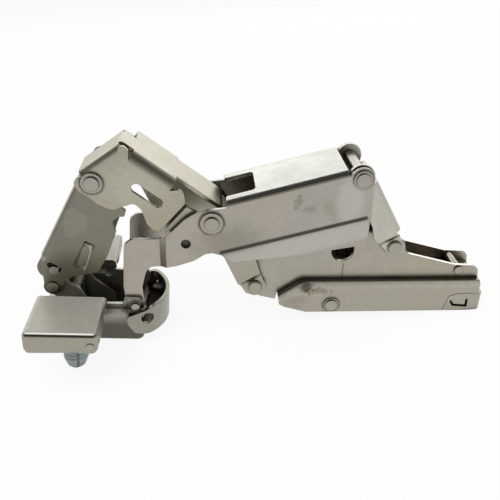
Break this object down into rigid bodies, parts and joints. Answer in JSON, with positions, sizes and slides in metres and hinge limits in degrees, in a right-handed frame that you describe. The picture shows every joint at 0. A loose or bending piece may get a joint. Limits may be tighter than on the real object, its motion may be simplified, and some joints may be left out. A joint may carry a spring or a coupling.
{
  "type": "concealed cup hinge",
  "caption": "Wide-opening concealed cabinet hinge in nickel-plated pressed steel, with a long folding lever linkage, a cup with folding flaps and expanding dowels, and a clip-on arm.",
  "frame": {"origin": "middle of the casing's seat, with which the arm lies on its mounting plate", "axes": "+X towards the rear end of the arm, +Y across the hinge, +Z away from the mounting plate"},
  "size_m": [0.1484, 0.066, 0.0706],
  "materials": {
    "nickel_sheet": "nickel-plated pressed sheet",
    "nickel_pins": "nickel-plated rivets",
    "spring_steel": "spring wire",
    "dowel_zinc": "blue-grey zinc dowel",
    "cone_steel": "dark expander"
  },
  "bodies": {
    "arm": {"casing": "nickel_sheet", "arm_channel": "nickel_sheet", "casing_rivet": "nickel_pins", "rear_rivet": "nickel_pins", "side_screw": "nickel_pins", "depth_screw": "nickel_pins", "base_front_rivets": "nickel_pins", "base_rear_rivets": "nickel_pins", "catch_spring": "spring_steel"},
    "catch": {"rear_catch": "nickel_sheet"},
    "boomerang": {"boomerang_lever": "nickel_sheet", "elbow_rivets": "nickel_pins"},
    "main": {"main_lever": "nickel_sheet", "knee_rivets": "nickel_pins", "rear_axle": "nickel_pins"},
    "rear": {"rear_link": "nickel_sheet"},
    "front": {"front_link": "nickel_sheet", "elbow_bushes": "nickel_pins", "cam_axle": "nickel_pins", "closing_cam": "nickel_pins"},
    "cup_body": {"cup": "nickel_sheet", "front_band": "nickel_sheet", "link_bracket": "nickel_sheet", "link_rivets": "nickel_pins", "cup_axle": "nickel_pins", "closing_spring": "spring_steel", "spring_pin": "nickel_pins", "dowel_near": "dowel_zinc", "dowel_far": "dowel_zinc", "dowel_core_near": "cone_steel", "dowel_core_far": "cone_steel"},
    "flap_near_body": {"flap_near": "nickel_sheet", "flap_pin_near": "nickel_pins"},
    "flap_far_body": {"flap_far": "nickel_sheet", "flap_pin_far": "nickel_pins"}
  },
  "joints": [
    {"name": "fold", "type": "hinge", "parent": "arm", "child": "boomerang", "pos_m": [-0.0255, 0, -0.0008], "axis": [0, -1, 0], "range_deg": [-58.33, 0]},
    {"name": "knee", "type": "hinge", "parent": "boomerang", "child": "main", "pos_m": [-0.04, 0, 0.025], "axis": [0, -1, 0], "range_deg": [0, 58.33]},
    {"name": "rear_pivot", "type": "hinge", "parent": "arm", "child": "rear", "pos_m": [0.02, 0, 0.0136], "axis": [0, -1, 0], "range_deg": [-58.33, 0]},
    {"name": "cup_pivot", "type": "hinge", "parent": "main", "child": "cup_body", "pos_m": [-0.0648, 0, -0.0056], "axis": [0, -1, 0], "range_deg": [-87.5, 0]},
    {"name": "link_pivot", "type": "hinge", "parent": "cup_body", "child": "front", "pos_m": [-0.0911, 0, 0.0008], "axis": [0, -1, 0], "range_deg": [0, 91.6]},
    {"name": "flap_near_hinge", "type": "hinge", "parent": "cup_body", "child": "flap_near_body", "pos_m": [-0.07613, -0.024, -0.00561], "axis": [0, 1, 0], "range_deg": [0, 45]},
    {"name": "flap_far_hinge", "type": "hinge", "parent": "cup_body", "child": "flap_far_body", "pos_m": [-0.07613, 0.024, -0.00561], "axis": [0, 1, 0], "range_deg": [0, 45]},
    {"name": "catch_slide", "type": "slide", "parent": "arm", "child": "catch", "axis": [1, 0, 0], "range_m": [0, 0.003], "stiffness_N_per_m": 400, "springref_m": -0.002}
  ],
  "couplings": [
    {"joint": "knee", "follows": "fold", "ratio": -1},
    {"joint": "rear_pivot", "follows": "fold", "ratio": 1},
    {"joint": "cup_pivot", "follows": "fold", "ratio": 1.5},
    {"joint": "link_pivot", "follows": "fold", "ratio": -1.57}
  ]
}
